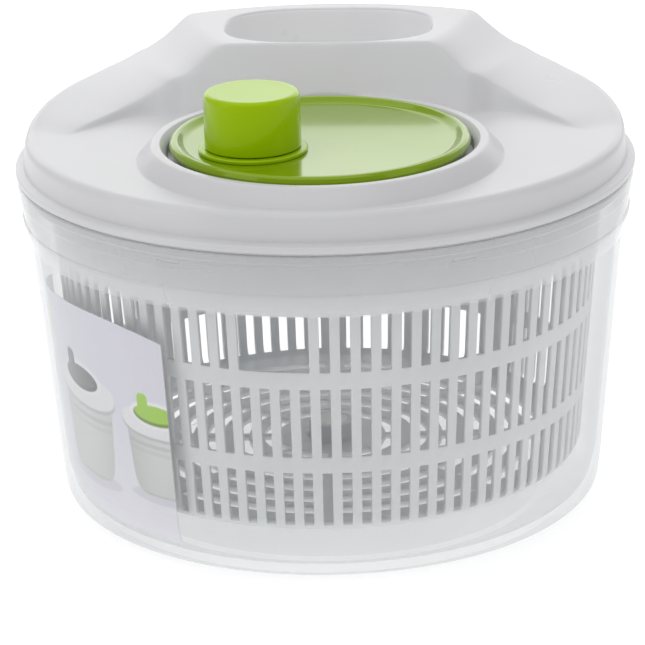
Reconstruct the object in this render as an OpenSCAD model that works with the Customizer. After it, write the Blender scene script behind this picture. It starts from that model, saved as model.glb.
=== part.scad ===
// Crank salad spinner: a clear bowl, a slotted basket that turns on a pin, and a
// lid that holds a crank disc, a pair of gears and the plate that drives the basket.
// Millimetres, +Z up, origin at the centre of the bowl's base.

/* [Bowl] */
// Outer diameter of the bowl at its rim
rim_d = 243; // [241:0.5:244]
// Height of the bowl's rim
bowl_h = 134.2; // [133.5:0.1:134.3]
// Outer diameter of the bowl's base
base_d = 198; // [190:1:202]
// Thickness of the bowl's wall
bowl_wall = 2.2; // [1.8:0.1:2.6]
// Height at which the tapered wall steps out to the collar
collar_z = 111; // [108:1:113]

/* [Basket] */
// Outer diameter of the basket where its wall would meet the floor plane
basket_d = 197.8; // [194:0.2:198.6]
// Growth of the basket's radius per millimetre of height
basket_taper = 0.082; // [0.075:0.001:0.084]
// Thickness of the basket's wall
basket_wall = 1.9; // [1.6:0.1:2.2]
// Number of slots in each row
slot_count = 86; // [78:2:94]
// Share of the slot pitch that is open
slot_share = 0.5; // [0.4:0.05:0.6]
// Heights of the lower and upper end of each row of slots
slot_rows = [[23, 42.5], [49, 77], [84, 106.6]];
// Turn of the slot next to the finger window, right of the front
slot_turn = 1.44; // [0:0.01:4]
// Slot pitches that the wide finger window takes up
window_pitches = 4; // [3:1:5]

/* [Lid] */
// Diameter of the lid's flange
lid_d = 244; // [243:0.5:246]
// Height of the lid's flat top
lid_top = 149.5; // [149:0.1:150]
// Thickness of the lid's wall
lid_wall = 2.2; // [1.8:0.1:2.6]
// Height of the top of the handle
handle_top = 174; // [168:1:176]
// Size of the rounded recess in the handle across X and Y
recess_size = [84, 56];
// Y of the centre of the recess
recess_y = 64; // [63:0.5:65]

/* [Crank] */
// Distance from the lid's centre forward to the crank's axis
crank_offset = 42; // [42]
// Diameter of the crank disc
disc_d = 115.2; // [110:0.2:118]
// Diameter of the knob
knob_d = 36.8; // [32:0.2:38]
// Height of the top of the knob
knob_top = 178.8; // [170:0.1:182]
// Place of the knob relative to the crank's axis
knob_at = [-24.8, -12.7];

/* [Gears] */
// Module of the gear teeth
tooth_module = 1.5; // [1.5]
// Teeth on the crank's gear
gear_teeth = 42; // [42]
// Teeth on the pinion
pinion_teeth = 14; // [14]

/* [Card] */
// Height of the paper card
card_h = 84; // [60:1:88]
// Angle round the bowl that the card covers
card_angle = 61; // [40:1:80]

/* [Hidden] */
$fn = 144;

clearance = 0.3;      // between pieces that move past each other
running = 0.05;       // radial, shaft in bush
eps = 0.01;

rim_r = rim_d / 2;
base_r = base_d / 2;
wall_low_r = 109.4;   // outer radius of the bowl's wall at wall_low_z
wall_low_z = 20;
wall_taper = 0.0865;
foot_h = 1.5;
floor_t = 2.6;

boss_top = 14;        // top of the bowl's centre boss
pin_r = 3;
pin_top = 23.6;

basket_z = 17;        // underside of the basket's floor
basket_floor_t = 2.4;
basket_rim_z = 129.5;
basket_rim_lip = 1.6;
notch_count = 6;
notch_w = 10;
notch_depth = 5.5;
slot_pitch = 360 / slot_count;
window_turn = slot_turn - (window_pitches + 1) / 2 * slot_pitch;

lid_r = lid_d / 2;
flange_z = 135.5;
seat_z = bowl_h + clearance;
side_low_r = 118.6;
side_low_z = 139;
side_top_r = 118;
shoulder = 3.5;
skirt_z = 128;
skirt_r = 117.8;
corner_w = 0.2;       // corner blocks that the handle is wrapped round

disc_r = disc_d / 2;
disc_low = 153.4;
disc_floor = 155.6;
disc_rim = 157.8;
shaft_r = 8;
shaft_low = 141.2;
recess_share = 0.86;  // the recess floor's size against its mouth
ring_bore_r = disc_r + 1.3;
ring_in_r = 61.3;
ring_top_r = 64.3;
ring_out_r = 70.4;
ring_top = 156.2;

gear_low = 135;
gear_high = 141;
addendum = 0.85 * tooth_module;
dedendum = 1.2 * tooth_module;
backlash = 0.3;       // taken off each tooth at the pitch circle
pressure = 20;

square_w = 9.6;       // drive square at the end of the crank's shaft
pilot_r = 1.6;
washer_t = 1;

knob_r = knob_d / 2;
knob_wall = 2.4;
collar_r = 20.75;
collar_top = 157.2;
stem_r = 5;
stem_low = 155.3;
pocket_r = 7.3;
pocket_top = 155.7;
spigot_r = 9;

cover_low = 128.6;
cover_t = 2;
cover_top = cover_low + cover_t;
post_r = 3.4;
cover_ears = [
    for (a = [15, 165, 270]) [43.5 * cos(a), -crank_offset + 43.5 * sin(a)],
    for (a = [60, 120]) [23.8 * cos(a), 2 + 23.8 * sin(a)]
];

hex_r = 4;            // spindle, across corners
journal_r = 3.2;
bush_r = 6.5;
spindle_low = 119.5;
spindle_top = 146;

plate_low = 124.6;
plate_t = 2.2;
plate_r = 106.4;
lug_reach_r = 109.8;
ring_wall_r = 104.6;
plate_ring_low = 114;
hub_r = 9;
hub_top = 127.6;

card_t = 0.5;
card_low = 12;
card_end_turn = 31.6; // the card's front edge, degrees left of the front

function bowl_out(z) = wall_low_r + wall_taper * (z - wall_low_z);
function basket_out(z) = basket_d / 2 + basket_taper * z;

// Points of an arc, for rounded stretches of an outline
function arc(cx, cy, r, a0, a1, n = 8) =
    [for (i = [0 : n]) let (a = a0 + (a1 - a0) * i / n) [cx + r * cos(a), cy + r * sin(a)]];

// ---------------------------------------------------------------- small helpers

module tube(r_out, r_in, low, high) {
    translate([0, 0, low]) difference() {
        cylinder(r = r_out, h = high - low);
        translate([0, 0, -1]) cylinder(r = r_in, h = high - low + 2);
    }
}

module rod(r, low, high) {
    translate([0, 0, low]) cylinder(r = r, h = high - low);
}

module hex_rod(r, low, high) {
    translate([0, 0, low]) cylinder(r = r, h = high - low, $fn = 6);
}

// Pan-head screw that points up, its head's top face at z = seat
module screw_up(head_r, head_h, shank_r, seat, tip) {
    difference() {
        union() {
            rod(head_r, seat - head_h, seat);
            rod(shank_r, seat - eps, tip);
        }
        for (a = [0, 90])
            rotate([0, 0, a])
                translate([-head_r * 0.6, -0.45, seat - head_h - 1])
                    cube([head_r * 1.2, 0.9, 1 + head_h * 0.55]);
    }
}

// ---------------------------------------------------------------- gears

// Involute of a base circle of radius b, at roll angle t (degrees)
function involute(b, t) =
    let (s = t * PI / 180) [b * (cos(t) + s * sin(t)), b * (sin(t) - s * cos(t))];
function roll_at(b, r) = sqrt(max(0, (r / b) * (r / b) - 1)) * 180 / PI;
function turned(p, a) = [p[0] * cos(a) - p[1] * sin(a), p[0] * sin(a) + p[1] * cos(a)];

module gear_outline(teeth) {
    p = tooth_module * teeth / 2;
    b = p * cos(pressure);
    root = p - dedendum;
    tip = p + addendum;
    start = max(root, b);
    steps = 5;
    at_pitch = involute(b, roll_at(b, p));
    lean = atan2(at_pitch[1], at_pitch[0]);
    half = 90 / teeth - backlash / 2 / p * 180 / PI;
    low_flank = [for (i = [0 : steps])
        turned(involute(b, roll_at(b, start + (tip - start) * i / steps)), -lean - half)];
    high_flank = [for (i = [0 : steps]) let (q = low_flank[steps - i]) [q[0], -q[1]]];
    a_root = atan2(low_flank[0][1], low_flank[0][0]);
    polygon([for (k = [0 : teeth - 1]) let (a = k * 360 / teeth)
        each concat(
            [turned([root, 0], a + a_root)],
            [for (q = low_flank) turned(q, a)],
            [for (q = high_flank) turned(q, a)],
            [turned([root, 0], a - a_root)])]);
}

// ---------------------------------------------------------------- bowl

module bowl() {
    inner_floor = foot_h + floor_t;
    collar_low_r = rim_r - 1.4;
    step = bowl_out(collar_z);
    color([0.90, 0.93, 0.95, 0.4]) {
        difference() {
            rotate_extrude() difference() {
                polygon(concat(
                    [[0, foot_h], [base_r - 14, foot_h], [base_r - 12.5, 0], [base_r - 2, 0]],
                    arc(base_r - 3.2, 12, 12, -84, -10, 7),
                    [[bowl_out(wall_low_z), wall_low_z], [step, collar_z],
                     [collar_low_r - 0.6, collar_z + 6.5], [collar_low_r, collar_z + 8],
                     [rim_r - 0.5, bowl_h - 3], [rim_r, bowl_h - 2.4], [rim_r, bowl_h - 0.5],
                     [rim_r - 0.5, bowl_h], [0, bowl_h]]));
                polygon(concat(
                    [[-1, inner_floor], [base_r - 3.6, inner_floor]],
                    arc(base_r - 3.6, inner_floor + 10.6, 10.6, -80, -6, 6),
                    [[step - bowl_wall, collar_z + 0.6],
                     [collar_low_r - bowl_wall - 0.5, collar_z + 7.5],
                     [rim_r - bowl_wall - 0.5, bowl_h - 3], [rim_r - bowl_wall - 0.4, bowl_h + 1],
                     [-1, bowl_h + 1]]));
            }
        }
        difference() {
            translate([0, 0, inner_floor - eps])
                cylinder(r1 = 12, r2 = 8, h = boss_top - inner_floor + eps);
            rod(pin_r, inner_floor + 2, boss_top + 1);
        }
    }
}

module pivot_pin() {
    color([0.75, 0.76, 0.78]) {
        rod(pin_r, foot_h + floor_t + 2, pin_top - 1);
        translate([0, 0, pin_top - 1]) cylinder(r1 = pin_r, r2 = pin_r - 1, h = 1);
    }
}

module paper_card() {
    function face(z) = bowl_out(z) - bowl_wall - 0.9;
    top = card_low + card_h;
    mid = card_low + 8;
    color([0.90, 0.89, 0.95])
        rotate([0, 0, 270 - card_end_turn - card_angle])
            rotate_extrude(angle = card_angle)
                polygon([[face(card_low) - 2.4, card_low], [face(card_low) - 2.4 + card_t, card_low],
                         [face(mid), mid], [face(top), top],
                         [face(top) - card_t, top], [face(mid) - card_t, mid]]);
}

// ---------------------------------------------------------------- basket

// One radial bar that cuts the wall between two heights, square to the front
module wall_cut(width, low, high) {
    translate([-width / 2, -basket_out(high) - 3, low]) cube([width, 14, high - low]);
}

module basket() {
    floor_top = basket_z + basket_floor_t;
    low_r = basket_out(basket_z);
    slot_w = basket_out(60) * slot_pitch * PI / 180 * slot_share;
    window_w = slot_w * (2 * window_pitches - 1);
    rows = len(slot_rows);
    color([0.82, 0.84, 0.87]) difference() {
        union() {
            rotate_extrude() difference() {
                polygon(concat(
                    [[0, basket_z], [low_r - 5, basket_z]],
                    arc(low_r - 5, basket_z + 5, 5, -80, 0, 5),
                    [[basket_out(basket_rim_z - 3), basket_rim_z - 3],
                     [basket_out(basket_rim_z) + basket_rim_lip, basket_rim_z - 2.4],
                     [basket_out(basket_rim_z) + basket_rim_lip, basket_rim_z], [0, basket_rim_z]]));
                polygon(concat(
                    [[-1, floor_top], [low_r - 7, floor_top]],
                    arc(low_r - 7, floor_top + 5, 5, -80, -4, 4),
                    [[basket_out(basket_rim_z) - basket_wall, basket_rim_z + eps],
                     [-1, basket_rim_z + eps]]));
            }
            rod(hub_r, basket_z - 2, basket_z + 9);
        }
        for (row = [0 : rows - 1], k = [0 : slot_count - 1])
            let (a = slot_turn + k * slot_pitch,
                 from_window = abs((a - window_turn + 90) % 180 - 90) / slot_pitch)
                if (row < rows - 1 || from_window > window_pitches / 2)
                    rotate([0, 0, a]) wall_cut(slot_w, slot_rows[row][0], slot_rows[row][1]);
        for (a = [window_turn, window_turn + 180])
            rotate([0, 0, a])
                wall_cut(window_w, slot_rows[rows - 1][0], slot_rows[rows - 1][1]);
        for (ring = [0 : 5], k = [0 : 7])
            rotate([0, 0, k * 45 + 4])
                rotate_extrude(angle = 37)
                    translate([22 + ring * 11.5, basket_z - 1]) square([5.5, basket_floor_t + 2]);
        for (k = [0 : notch_count - 1])
            rotate([0, 0, k * 360 / notch_count])
                translate([100, -notch_w / 2, basket_rim_z - notch_depth])
                    cube([20, notch_w, notch_depth + 1]);
        rod(bush_r, basket_z - 3, basket_z + 10);
    }
}

module basket_bush() {
    color([0.93, 0.93, 0.94]) difference() {
        rod(bush_r, basket_z - 2, basket_z + 9);
        rod(pin_r + running, basket_z - 3, pin_top + 0.4);
    }
}

// ---------------------------------------------------------------- lid

// Solid of revolution under the lid's skin, shrunk by inset
module lid_form(inset, low) {
    top = lid_top - inset;
    r = side_top_r - inset;
    rotate_extrude()
        polygon(concat(
            [[0, low], [side_low_r - inset, low], [side_low_r - inset, side_low_z]],
            arc(r - shoulder, top - shoulder, shoulder, 4, 90),
            [[0, top]]));
}

// Corner block of the handle, pulled towards the handle's middle by inset
module corner(p, inset) {
    m = [0, 45];
    d = norm([p[0] - m[0], p[1] - m[1]]);
    k = max(0, 1 - inset / max(d, 1));
    translate([m[0] + (p[0] - m[0]) * k, m[1] + (p[1] - m[1]) * k, p[2] - inset - corner_w / 2])
        cube(corner_w, center = true);
}

// Hump across the back of the lid with a wing that runs down to each side
module handle_form(inset, low) {
    foot = low + inset;
    top = handle_top;
    middle = [[39.4, 34.6, top], [49.5, 49, top], [56, 70, top], [59.5, 85, top], [36, 96.5, top],
              [0, 101.5, top], [50, 12, foot], [60, 14, foot], [70, 23.5, lid_top + 6.3],
              [75, 86, lid_top + 10.3], [74, 86, foot], [40, 106, foot], [0, 113, foot]];
    wing = [[66, 25, lid_top + 8], [73, 86, lid_top + 11.5], [80, 16, lid_top + 3.4],
            [90, 3, lid_top + 1.8], [98, -9, lid_top - 0.3], [113, 15, lid_top - 0.3],
            [107, 40, lid_top + 3.4], [94, 64, lid_top + 5.2], [60, 18, foot], [78, 15, foot],
            [98, -9, foot], [113, 15, foot], [94, 64, foot], [73, 86, foot], [60, 84, foot]];
    difference() {
        union() {
            hull() for (p = middle, s = [-1, 1]) corner([s * p[0], p[1], p[2]], inset);
            for (s = [-1, 1]) hull() for (p = wing) corner([s * p[0], p[1], p[2]], inset);
        }
        translate([0, -crank_offset, lid_top - inset - 4])
            cylinder(r = ring_in_r + 0.3 + inset, h = 60);
    }
}

// Solid of the recess in the handle, grown all round, narrower towards its floor
module recess_form(grow, low) {
    a = recess_size[0] / 2 + grow;
    b = recess_size[1] / 2 + grow;
    e = 0.72;
    translate([0, recess_y, low])
        linear_extrude(height = handle_top - low, scale = 1 / recess_share)
            scale(recess_share)
                polygon([for (t = [0 : 6 : 354])
                    [a * sign(cos(t)) * abs(cos(t)) ^ e, b * sign(sin(t)) * abs(sin(t)) ^ e]]);
}

module crank_ring() {
    translate([0, -crank_offset, 0])
        rotate_extrude()
            polygon([[ring_bore_r, lid_top - 1], [ring_out_r, lid_top - 1], [ring_out_r, lid_top],
                     [ring_top_r, ring_top], [ring_in_r, ring_top], [ring_bore_r, ring_top - 3]]);
}

module lid_rim() {
    rotate_extrude()
        polygon([[skirt_r - 2, skirt_z], [skirt_r, skirt_z + 1], [skirt_r, seat_z],
                 [lid_r - 2, seat_z], [lid_r - 2, flange_z], [lid_r, flange_z],
                 [lid_r, flange_z + 2], [lid_r - 0.6, flange_z + 2.6],
                 [side_low_r, side_low_z], [skirt_r - 2, side_low_z]]);
}

module lid_shell() {
    roof_low = lid_top - lid_wall;
    color([0.92, 0.92, 0.94]) difference() {
        union() {
            difference() {
                union() {
                    lid_form(0, skirt_z + 2);
                    handle_form(0, lid_top - 1);
                }
                lid_form(lid_wall, skirt_z);
                handle_form(lid_wall, roof_low - 1);
                rod(skirt_r - 2, skirt_z, side_low_z - 2);
            }
            lid_rim();
            crank_ring();
            recess_form(lid_wall, roof_low);
            translate([0, -crank_offset, 0]) rod(14, 143.5, lid_top);
            rod(hub_r, gear_high + 0.6, roof_low + 1);
            for (p = cover_ears)
                translate([p[0], p[1], 0]) rod(post_r, cover_top, roof_low + 1);
        }
        translate([0, 0, eps]) recess_form(0, lid_top);
        for (k = [-3 : 3])
            translate([k * 7 - 1.5, recess_y - 13, lid_top - 6]) cube([3, 26, 12]);
        translate([0, -crank_offset, 0]) rod(10.5, 140, lid_top + 1);
        rod(bush_r, gear_high, roof_low);
        for (p = cover_ears)
            translate([p[0], p[1], 0]) rod(1.2, cover_top - 1, roof_low - 2);
    }
}

module crank_bush() {
    color([0.88, 0.88, 0.86]) translate([0, -crank_offset, 0]) difference() {
        union() {
            rod(10.5, 143.5, lid_top + eps);
            rod(13, lid_top, lid_top + 0.8);
        }
        rod(shaft_r + running, 142, lid_top + 2);
    }
}

module upper_bush() {
    color([0.88, 0.88, 0.86]) difference() {
        rod(bush_r, gear_high + 0.6, lid_top - lid_wall);
        rod(journal_r + running, gear_high, spindle_top + 0.4);
    }
}

module cover_outline(grow) {
    hull() {
        translate([0, -crank_offset]) circle(38 + grow);
        translate([0, 2]) circle(18 + grow);
    }
}

module gear_cover() {
    color([0.86, 0.86, 0.88]) difference() {
        union() {
            translate([0, 0, cover_low]) linear_extrude(cover_t) {
                cover_outline(2);
                for (p = cover_ears) translate(p) circle(6);
            }
            translate([0, 0, cover_top - eps]) linear_extrude(10) difference() {
                cover_outline(1.8);
                cover_outline(0);
            }
        }
        rod(7, cover_low - 1, cover_top + 1);
        for (p = cover_ears) translate([p[0], p[1], 0]) rod(1.7, cover_low - 1, cover_top + 1);
    }
}

module lower_bush() {
    color([0.88, 0.88, 0.86]) difference() {
        union() {
            rod(7, cover_low, cover_top + eps);
            rod(9, cover_top, cover_top + 0.8);
        }
        rod(hex_r + running, cover_low - 1, cover_top + 2);
    }
}

module cover_screws() {
    color([0.62, 0.63, 0.65])
        for (p = cover_ears)
            translate([p[0], p[1], 0]) screw_up(2.8, 1.8, 1.2, cover_low, cover_low + 12);
}

// ---------------------------------------------------------------- crank

module crank_disc() {
    bottom = gear_low + 0.4;
    color([0.52, 0.74, 0.10]) translate([0, -crank_offset, 0]) difference() {
        union() {
            rotate_extrude()
                polygon([[0, disc_low], [disc_r - 1.5, disc_low], [disc_r - 0.4, disc_low + 0.6],
                         [disc_r, disc_low + 1.6], [disc_r, disc_rim - 1.8],
                         [disc_r - 0.6, disc_rim - 0.7], [disc_r - 1.6, disc_rim - 0.1],
                         [disc_r - 2.4, disc_rim], [disc_r - 3.2, disc_rim - 0.3],
                         [disc_r - 5, disc_floor], [0, disc_floor]]);
            rod(shaft_r, shaft_low, disc_low + eps);
            translate([-square_w / 2, -square_w / 2, bottom])
                cube([square_w, square_w, shaft_low - bottom + eps]);
        }
        translate([knob_at[0], knob_at[1], 0]) rod(spigot_r, disc_low - 1, disc_floor + 1);
        rod(pilot_r, bottom - 1, bottom + 10);
    }
}

module crank_gear() {
    color([0.95, 0.95, 0.93]) translate([0, -crank_offset, 0]) difference() {
        union() {
            translate([0, 0, gear_low]) linear_extrude(gear_high - gear_low) difference() {
                rotate(180 / gear_teeth) gear_outline(gear_teeth);
                for (k = [0 : 5]) rotate(k * 60 + 30) translate([19, 0]) circle(6);
            }
            rod(11, gear_high - eps, gear_high + 1.4);
        }
        translate([-square_w / 2, -square_w / 2, gear_low - 1])
            cube([square_w, square_w, gear_high - gear_low + 1.2]);
        rod(shaft_r, gear_high + 0.2, gear_high + 3);
    }
}

module crank_washer() {
    color([0.70, 0.71, 0.73]) translate([0, -crank_offset, 0])
        tube(9, pilot_r, gear_low - washer_t, gear_low);
}

module crank_screw() {
    color([0.62, 0.63, 0.65]) translate([0, -crank_offset, 0])
        screw_up(3.6, 2.2, pilot_r, gear_low - washer_t, gear_low + 9);
}

module knob_collar() {
    color([0.46, 0.68, 0.08])
        translate([knob_at[0], knob_at[1] - crank_offset, 0]) difference() {
            union() {
                rod(spigot_r, disc_low, disc_floor + eps);
                rod(collar_r, disc_floor, collar_top - 0.8);
                translate([0, 0, collar_top - 0.8])
                    cylinder(r1 = collar_r, r2 = collar_r - 0.8, h = 0.8);
                rod(stem_r + 2.4, collar_top - eps, 170);
            }
            rod(stem_r + running, disc_low, 171);
            rod(pocket_r, disc_low - 1, pocket_top);
        }
}

module knob() {
    skirt_low = collar_top + 0.4;
    color([0.50, 0.72, 0.08])
        translate([knob_at[0], knob_at[1] - crank_offset, 0]) difference() {
            union() {
                rotate_extrude() difference() {
                    polygon(concat(
                        [[0, skirt_low], [knob_r, skirt_low]],
                        arc(knob_r - 2.6, knob_top - 2.6, 2.6, 0, 90, 6),
                        [[0, knob_top]]));
                    polygon([[-1, skirt_low - 1], [knob_r - knob_wall, skirt_low - 1],
                             [knob_r - knob_wall - 0.6, knob_top - 4], [-1, knob_top - 4]]);
                }
                rod(stem_r, stem_low, knob_top - 3);
            }
            rod(1.5, stem_low - 1, stem_low + 10);
        }
}

module knob_washer() {
    color([0.70, 0.71, 0.73]) translate([knob_at[0], knob_at[1] - crank_offset, 0])
        tube(6.8, 1.5, stem_low - 0.8, stem_low);
}

module knob_screw() {
    color([0.62, 0.63, 0.65]) translate([knob_at[0], knob_at[1] - crank_offset, 0])
        screw_up(3.2, 1.5, 1.5, stem_low - 0.8, stem_low + 9);
}

// ---------------------------------------------------------------- drive to the basket

module pinion() {
    color([0.95, 0.95, 0.93]) difference() {
        union() {
            translate([0, 0, gear_low - 0.5])
                linear_extrude(gear_high - gear_low + 0.5) gear_outline(pinion_teeth);
            rod(6.5, cover_top + 1.1, gear_low);
        }
        hex_rod(hex_r, cover_top, gear_high + 1);
    }
}

module drive_spindle() {
    color([0.78, 0.79, 0.80]) difference() {
        union() {
            hex_rod(hex_r, spindle_low, spindle_top - 5);
            rod(hex_r, hub_top, cover_top + 1.1);
            rod(journal_r, gear_high, spindle_top);
        }
        rod(pilot_r, spindle_low - 1, spindle_low + 9);
    }
}

module drive_plate() {
    lug_w = notch_w - 2 * clearance - 0.4;
    color([0.90, 0.90, 0.92]) difference() {
        union() {
            rod(plate_r, plate_low, plate_low + plate_t);
            tube(ring_wall_r, ring_wall_r - 1.8, plate_ring_low, plate_low + eps);
            rod(hub_r, spindle_low, hub_top);
            for (k = [0 : notch_count - 1])
                rotate([0, 0, k * 360 / notch_count])
                    translate([ring_wall_r - 1, -lug_w / 2, plate_low])
                        cube([lug_reach_r - ring_wall_r + 1, lug_w, 3]);
        }
        for (ring = [0 : 3], k = [0 : 11])
            rotate([0, 0, k * 30 + ring * 15])
                translate([30 + ring * 19, 0, 0]) rod(4.5, plate_low - 1, plate_low + plate_t + 1);
        hex_rod(hex_r, spindle_low - 1, hub_top + 1);
    }
}

module drive_washer() {
    color([0.70, 0.71, 0.73]) tube(8, pilot_r, spindle_low - washer_t, spindle_low);
}

module drive_screw() {
    color([0.62, 0.63, 0.65])
        screw_up(3.6, 2.2, pilot_r, spindle_low - washer_t, spindle_low + 8);
}

bowl();
pivot_pin();
paper_card();
basket();
basket_bush();
lid_shell();
gear_cover();
cover_screws();
crank_bush();
upper_bush();
lower_bush();
crank_disc();
crank_gear();
crank_washer();
crank_screw();
knob_collar();
knob();
knob_washer();
knob_screw();
pinion();
drive_spindle();
drive_plate();
drive_washer();
drive_screw();
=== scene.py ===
"""Crank salad spinner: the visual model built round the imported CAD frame, and its scene."""

import math

import bmesh
import bpy
import numpy as np
from mathutils import Matrix, Vector
from mathutils.geometry import delaunay_2d_cdt


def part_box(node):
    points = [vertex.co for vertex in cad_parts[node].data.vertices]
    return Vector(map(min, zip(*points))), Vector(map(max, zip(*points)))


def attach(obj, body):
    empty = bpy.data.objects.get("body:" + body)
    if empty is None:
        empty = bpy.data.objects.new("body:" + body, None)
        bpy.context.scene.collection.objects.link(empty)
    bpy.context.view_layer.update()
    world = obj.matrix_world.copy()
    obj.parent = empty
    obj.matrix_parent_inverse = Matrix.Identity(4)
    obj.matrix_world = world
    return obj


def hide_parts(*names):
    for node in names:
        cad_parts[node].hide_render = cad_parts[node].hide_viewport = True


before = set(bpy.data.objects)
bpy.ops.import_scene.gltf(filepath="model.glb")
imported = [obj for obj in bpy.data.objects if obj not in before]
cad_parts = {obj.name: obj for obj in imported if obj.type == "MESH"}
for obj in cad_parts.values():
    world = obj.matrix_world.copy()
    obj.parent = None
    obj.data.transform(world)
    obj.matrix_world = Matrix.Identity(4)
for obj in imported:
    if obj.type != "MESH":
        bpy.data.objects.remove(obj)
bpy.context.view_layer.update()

MM = 0.001  # every mesh below is written in millimetres and scaled by this


def box_mm(node):
    """Lowest and highest corner of a CAD node, in millimetres."""
    low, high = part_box(node)
    return low / MM, high / MM


# ------------------------------------------------------------------ sizes from the frame

BOWL_HIGH = box_mm("bowl")[1]
BASKET_TOP = box_mm("basket")[1].z
LID_HIGH = box_mm("lid_shell")[1]
DISC_LOW, DISC_HIGH = box_mm("crank_disc")
KNOB_LOW, KNOB_HIGH = box_mm("knob")
COLLAR_LOW, COLLAR_HIGH = box_mm("knob_collar")

CRANK = ((DISC_LOW.x + DISC_HIGH.x) / 2, (DISC_LOW.y + DISC_HIGH.y) / 2)
KNOB = ((KNOB_LOW.x + KNOB_HIGH.x) / 2, (KNOB_LOW.y + KNOB_HIGH.y) / 2)

RIM_R = BOWL_HIGH.x
BOWL_H = BOWL_HIGH.z
WALL_R20 = 109.4  # bowl's outer radius 20 mm up
WALL_TAPER = 0.0865
BOWL_WALL = 2.2

BASKET_R0 = 98.9  # basket's outer radius where its wall would meet the floor plane
BASKET_TAPER = 0.082
BASKET_WALL = 1.9
SLOTS = 86
SLOT_TURN = 1.44  # degrees right of the front, to the middle of the first slot
SLOT_ROWS = ((20.2, 42.5), (49.0, 77.0), (84.0, 106.6))
WINDOW_PITCHES = 2.5  # from the first slot leftwards to the middle of the finger window
NOTCH_STEP = 60
NOTCH_HALF = 2.65
NOTCH_LOW = 124.0
STEPS_PER_SLOT = 4  # angle steps of the basket's mesh: two for the slot and two for the bar
FLOOR_LOW, FLOOR_HIGH = 17.0, 19.4  # under and upper face of the basket's floor
FLOOR_SECTORS = 8
SPOKE_STEPS = (0, 1, 2, 41, 42)  # angle steps of each floor sector that stay solid
CORNER = 7.0  # rounding between the basket's floor and its wall
CORNER_Z = 24

LID_R = LID_HIGH.x
LID_FLAT = 149.5
HANDLE_TOP = LID_HIGH.z
LID_SKIN = 2.2
SIDE_R = 118.0
SHOULDER = 3.5
ROOF = LID_FLAT - LID_SKIN
RECESS = (42.2, 27.4)
RECESS_Y = 63.9
RECESS_SHARE = 0.86  # size of the recess floor against its mouth
SQUARENESS = 0.72
RING_IN = 61.3
RING_TOP = 156.2
RING_TOP_R = 64.3
RING_OUT = 70.4
RING_BORE = 58.9
WELL_R = 63.4  # where the top skin meets the flat of the crank ring
TOP_R = SIDE_R - SHOULDER
ROOF_R = 112.0  # where the lid's roof begins to round into the inner side wall
ROOF_CORNER = 4
LIP = 1.5  # rounding of the recess's mouth
FLOOR_GROW = -3.0  # recess floor's outline against the mouth's, above and below
CUP_GROW = 0.4
DRAIN_X = [k * 7 for k in range(-3, 4)]
DRAIN_HALF = (1.5, 13)
BOSS_R = 14.0  # crank shaft's boss, spindle's boss and screw posts under the lid
SPINDLE_BOSS_R = 9.0
POST_R = 3.4
POST_LOW = 130.6
RIM_POINTS = 360
RING_POINTS = 200
BOSS_POINTS = 72
POST_POINTS = 28

DISC_RIM = 157.8
DISC_FLOOR = 155.6
COLLAR_TOP = 157.2


def wall_r(z):
    return WALL_R20 + WALL_TAPER * (z - 20)


def basket_r(z):
    return BASKET_R0 + BASKET_TAPER * z


CORNER_R = basket_r(CORNER_Z) - CORNER


def distance(x, y, centre):
    return math.hypot(x - centre[0], y - centre[1])


def quarter_turn(steps, first=0):
    """Angles of a quarter turn in equal steps."""
    return [math.pi / 2 * k / steps for k in range(first, steps + 1)]


# ------------------------------------------------------------------ mesh helpers


class Shell:
    """Vertices in millimetres and faces, gathered from loops, bands and patches."""

    def __init__(self):
        self.verts = []
        self.faces = []

    def add(self, points):
        start = len(self.verts)
        self.verts.extend(tuple(float(c) for c in p) for p in points)
        return list(range(start, len(self.verts)))

    def band(self, a, b):
        for i in range(len(a)):
            j = (i + 1) % len(a)
            self.faces.append((a[i], a[j], b[j], b[i]))

    def stack(self, loops):
        for a, b in zip(loops, loops[1:]):
            self.band(a, b)

    def cap(self, loop, point):
        centre = self.add([point])[0]
        for i in range(len(loop)):
            self.faces.append((loop[i], loop[(i + 1) % len(loop)], centre))

    def build(self, name, sharp=35.0, merge=0.0002):
        mesh = bpy.data.meshes.new(name)
        mesh.from_pydata([(x * MM, y * MM, z * MM) for x, y, z in self.verts], [], self.faces)
        bm = bmesh.new()
        bm.from_mesh(mesh)
        bmesh.ops.remove_doubles(bm, verts=bm.verts, dist=merge * MM)
        bmesh.ops.recalc_face_normals(bm, faces=bm.faces)
        bm.to_mesh(mesh)
        bm.free()
        return place(name, mesh, sharp)


def place(name, mesh, sharp=35.0):
    """A smooth-shaded object for the mesh, with edges past the sharp angle kept crisp."""
    mesh.shade_smooth()
    mesh.set_sharp_from_angle(angle=math.radians(sharp))
    obj = bpy.data.objects.new(name, mesh)
    bpy.context.scene.collection.objects.link(obj)
    return obj


def rounded_path(corners, steps=5):
    """Path through (r, z, radius) corners; a corner with a radius becomes an arc."""
    path = []
    last = len(corners) - 1
    for i, (r, z, radius) in enumerate(corners):
        here = Vector((r, z))
        if radius == 0 or i in (0, last):
            path.append((r, z))
            continue
        before = Vector(corners[i - 1][:2]) - here
        after = Vector(corners[i + 1][:2]) - here
        half = before.angle(after) / 2
        cut = min(radius / math.tan(half), 0.49 * before.length, 0.49 * after.length)
        before.normalize()
        after.normalize()
        size = cut * math.tan(half)
        centre = here + (before + after).normalized() * (size / math.sin(half))
        start = here + before * cut - centre
        end = here + after * cut - centre
        a0 = math.atan2(start.y, start.x)
        turn = (math.atan2(end.y, end.x) - a0 + math.pi) % (2 * math.pi) - math.pi
        for k in range(steps + 1):
            a = a0 + turn * k / steps
            path.append((centre.x + size * math.cos(a), centre.y + size * math.sin(a)))
    return path


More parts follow.
